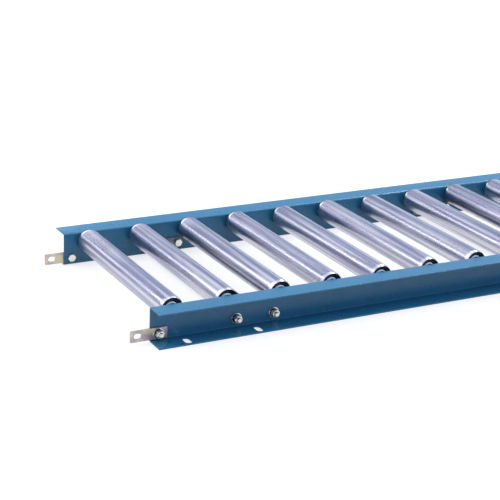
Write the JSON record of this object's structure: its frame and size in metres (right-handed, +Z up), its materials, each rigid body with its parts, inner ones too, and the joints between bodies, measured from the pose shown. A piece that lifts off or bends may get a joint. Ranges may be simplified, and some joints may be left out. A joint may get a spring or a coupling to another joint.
{
  "type": "roller conveyor",
  "caption": "Gravity roller conveyor section: steel tube rollers on fixed shafts between two folded channel rails, with joint plates at one end.",
  "frame": {"origin": "middle of the overall length, joint plates included, midway between the rails, on the plane that the rails stand on", "axes": "+X along the conveyor away from the joint plates, +Y across it from the near rail to the far rail, +Z up"},
  "size_m": [1.0356, 0.46, 0.0673],
  "materials": {
    "rail_paint": "satin enamel",
    "roller_steel": "zinc plated, drawn and lightly scratched",
    "zinc_plate": "yellow-tinged zinc plate",
    "fastener_zinc": "bright zinc plate",
    "shaft_steel": "bright drawn steel",
    "bearing_black": "moulded, matt"
  },
  "bodies": {
    "frame": {"near_rail": "rail_paint", "far_rail": "rail_paint", "joint_plates": "zinc_plate", "left_stay": "zinc_plate", "right_stay": "zinc_plate", "joint_bolts": "fastener_zinc", "stay_bolts": "fastener_zinc", "bearings_01": "bearing_black", "shaft_01": "shaft_steel", "bearings_02": "bearing_black", "shaft_02": "shaft_steel", "bearings_03": "bearing_black", "shaft_03": "shaft_steel", "bearings_04": "bearing_black", "shaft_04": "shaft_steel", "bearings_05": "bearing_black", "shaft_05": "shaft_steel", "bearings_06": "bearing_black", "shaft_06": "shaft_steel", "bearings_07": "bearing_black", "shaft_07": "shaft_steel", "bearings_08": "bearing_black", "shaft_08": "shaft_steel", "bearings_09": "bearing_black", "shaft_09": "shaft_steel", "bearings_10": "bearing_black", "shaft_10": "shaft_steel"},
    "roller_01": {"roller_tube_01": "roller_steel"},
    "roller_02": {"roller_tube_02": "roller_steel"},
    "roller_03": {"roller_tube_03": "roller_steel"},
    "roller_04": {"roller_tube_04": "roller_steel"},
    "roller_05": {"roller_tube_05": "roller_steel"},
    "roller_06": {"roller_tube_06": "roller_steel"},
    "roller_07": {"roller_tube_07": "roller_steel"},
    "roller_08": {"roller_tube_08": "roller_steel"},
    "roller_09": {"roller_tube_09": "roller_steel"},
    "roller_10": {"roller_tube_10": "roller_steel"}
  },
  "joints": [
    {"name": "roller_01_spin", "type": "hinge", "parent": "frame", "child": "roller_01", "pos_m": [-0.43825, 0, 0.046], "axis": [0, 1, 0], "continuous": true},
    {"name": "roller_02_spin", "type": "hinge", "parent": "frame", "child": "roller_02", "pos_m": [-0.33825, 0, 0.046], "axis": [0, 1, 0], "continuous": true},
    {"name": "roller_03_spin", "type": "hinge", "parent": "frame", "child": "roller_03", "pos_m": [-0.23825, 0, 0.046], "axis": [0, 1, 0], "continuous": true},
    {"name": "roller_04_spin", "type": "hinge", "parent": "frame", "child": "roller_04", "pos_m": [-0.13825, 0, 0.046], "axis": [0, 1, 0], "continuous": true},
    {"name": "roller_05_spin", "type": "hinge", "parent": "frame", "child": "roller_05", "pos_m": [-0.03825, 0, 0.046], "axis": [0, 1, 0], "continuous": true},
    {"name": "roller_06_spin", "type": "hinge", "parent": "frame", "child": "roller_06", "pos_m": [0.06175, 0, 0.046], "axis": [0, 1, 0], "continuous": true},
    {"name": "roller_07_spin", "type": "hinge", "parent": "frame", "child": "roller_07", "pos_m": [0.16175, 0, 0.046], "axis": [0, 1, 0], "continuous": true},
    {"name": "roller_08_spin", "type": "hinge", "parent": "frame", "child": "roller_08", "pos_m": [0.26175, 0, 0.046], "axis": [0, 1, 0], "continuous": true},
    {"name": "roller_09_spin", "type": "hinge", "parent": "frame", "child": "roller_09", "pos_m": [0.36175, 0, 0.046], "axis": [0, 1, 0], "continuous": true},
    {"name": "roller_10_spin", "type": "hinge", "parent": "frame", "child": "roller_10", "pos_m": [0.46175, 0, 0.046], "axis": [0, 1, 0], "continuous": true}
  ]
}
